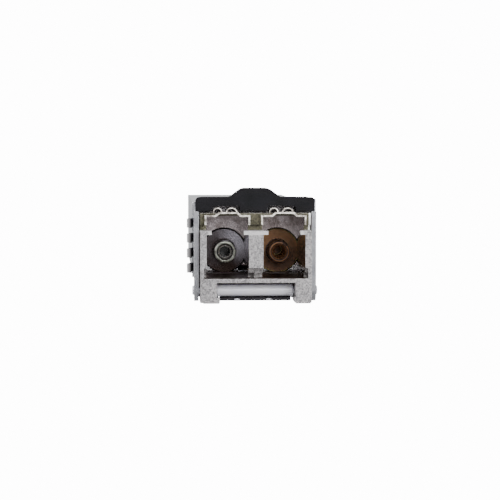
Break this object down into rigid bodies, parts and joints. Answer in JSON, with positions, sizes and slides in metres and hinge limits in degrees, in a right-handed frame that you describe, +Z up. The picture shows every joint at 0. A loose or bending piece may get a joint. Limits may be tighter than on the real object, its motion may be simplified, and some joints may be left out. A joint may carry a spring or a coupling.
{
  "type": "optical transceiver module",
  "caption": "Duplex optical transceiver module: twin receptacle ports, spring collar, card edge and a swinging bail latch.",
  "frame": {"origin": "under the middle of the bounding box, level with the bottom of the nose feet", "axes": "+Z up; +Y from the ports to the card edge, along the longest extent; +X to the right of someone who faces the ports"},
  "size_m": [0.015, 0.0564, 0.0127],
  "materials": {
    "cast_zinc": "satin nickel over fine-grained die-cast zinc",
    "cast_zinc_body": "satin nickel over die-cast zinc, smoother than the nose",
    "cover_sheet": "satin nickel-plated sheet",
    "bright_sheet": "bright plated sheet",
    "blank_label": "blank matte label film",
    "dark_steel": "dark satin steel",
    "spring_sheet": "satin spring steel",
    "turned_steel": "fine turned steel",
    "white_ceramic": "polished white ceramic",
    "dark_ceramic": "polished dark ceramic",
    "gold_plate": "gold plate",
    "amber_film": "amber polyimide film",
    "amber_plastic": "amber engineering plastic, slightly translucent",
    "green_board": "green solder mask on glass laminate",
    "black_chip": "matte black moulding compound",
    "tan_ceramic": "tan ceramic with tinned ends",
    "soft_pad": "soft grey-blue filled silicone",
    "arm_steel": "satin stainless steel",
    "black_plastic": "black moulded plastic, fine satin",
    "satin_nickel": "smooth satin nickel"
  },
  "bodies": {
    "module": {"nose_housing": "cast_zinc", "latch_hood_left": "bright_sheet", "latch_hood_right": "bright_sheet", "base_housing": "cast_zinc_body", "top_cover": "cover_sheet", "top_label": "blank_label", "cover_screws": "dark_steel", "emi_collar": "spring_sheet", "emi_plate": "bright_sheet", "osa_clamp": "dark_steel", "tosa_receptacle": "turned_steel", "tosa_sleeve": "white_ceramic", "tosa_stub": "dark_ceramic", "tosa_can": "gold_plate", "tosa_flex": "amber_film", "rosa_receptacle": "amber_plastic", "rosa_can": "gold_plate", "rosa_flex": "amber_film", "pcb": "green_board", "contacts_top": "gold_plate", "contacts_bottom": "gold_plate", "laser_driver": "black_chip", "post_amplifier": "black_chip", "microcontroller": "black_chip", "passives": "tan_ceramic", "thermal_pad": "soft_pad", "latch_plate": "dark_steel", "latch_plate_rivets": "turned_steel", "latch_pin": "turned_steel", "latch_spring": "spring_sheet"},
    "latch": {"latch_lever": "dark_steel"},
    "bail": {"bail_frame": "arm_steel", "bail_grip": "black_plastic", "bail_shaft": "turned_steel", "cam_sleeve": "satin_nickel"}
  },
  "joints": [
    {"name": "bail_hinge", "type": "hinge", "parent": "module", "child": "bail", "pos_m": [0, -0.02525, 0.00128], "axis": [1, 0, 0], "range_deg": [0, 90]},
    {"name": "latch_rock", "type": "hinge", "parent": "module", "child": "latch", "pos_m": [0, -0.02285, 0.00145], "axis": [1, 0, 0], "range_deg": [0, 4.6], "deforming": ["latch_spring"]}
  ],
  "couplings": [
    {"joint": "latch_rock", "follows": "bail_hinge", "ratio": 0.05}
  ]
}
